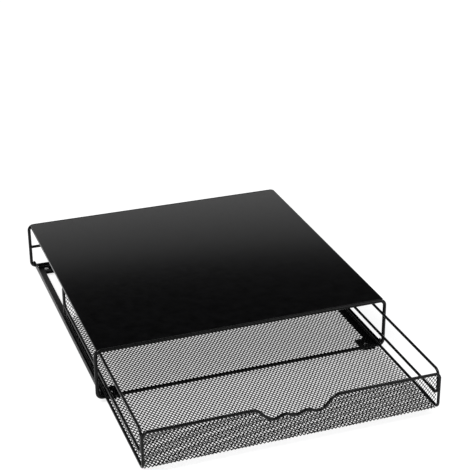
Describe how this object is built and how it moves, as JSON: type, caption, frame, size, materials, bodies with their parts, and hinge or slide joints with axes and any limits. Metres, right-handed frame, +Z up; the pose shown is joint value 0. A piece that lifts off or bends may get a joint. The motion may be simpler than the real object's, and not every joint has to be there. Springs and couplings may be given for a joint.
{
  "type": "coffee pod box",
  "caption": "Low black wire stand with a flat sheet top and a sliding drawer for coffee pods. The drawer has a mesh front, back and floor and open wire sides, and its front rim dips in a wavy finger cut-out.",
  "frame": {"origin": "on the ground, in the middle of the footprint that the stand and the drawer cover with the drawer 147 mm out, as at rest", "axes": "+Z up, -Y towards the drawer's front, +X to the right as seen from the front"},
  "size_m": [0.338, 0.4906, 0.0643],
  "materials": {
    "coated_sheet": "satin black powder coat",
    "coated_wire": "satin black powder coat",
    "coated_mesh": "matte black powder coat",
    "foot_rubber": "matte"
  },
  "bodies": {
    "stand": {"top_plate": "coated_sheet", "front_hoop": "coated_wire", "rear_hoop": "coated_wire", "rear_stop_bar": "coated_wire", "left_rail": "coated_sheet", "right_rail": "coated_sheet", "front_left_foot_plate": "coated_sheet", "front_right_foot_plate": "coated_sheet", "rear_left_foot_plate": "coated_sheet", "rear_right_foot_plate": "coated_sheet", "front_left_foot": "foot_rubber", "front_right_foot": "foot_rubber", "rear_left_foot": "foot_rubber", "rear_right_foot": "foot_rubber"},
    "drawer": {"drawer_frame": "coated_wire", "left_side_loop": "coated_wire", "right_side_loop": "coated_wire", "front_mesh": "coated_mesh", "rear_mesh": "coated_mesh", "floor_mesh": "coated_mesh"}
  },
  "joints": [
    {"name": "drawer_slide", "type": "slide", "parent": "stand", "child": "drawer", "axis": [0, -1, 0], "range_m": [-0.1471, 0.096]}
  ]
}
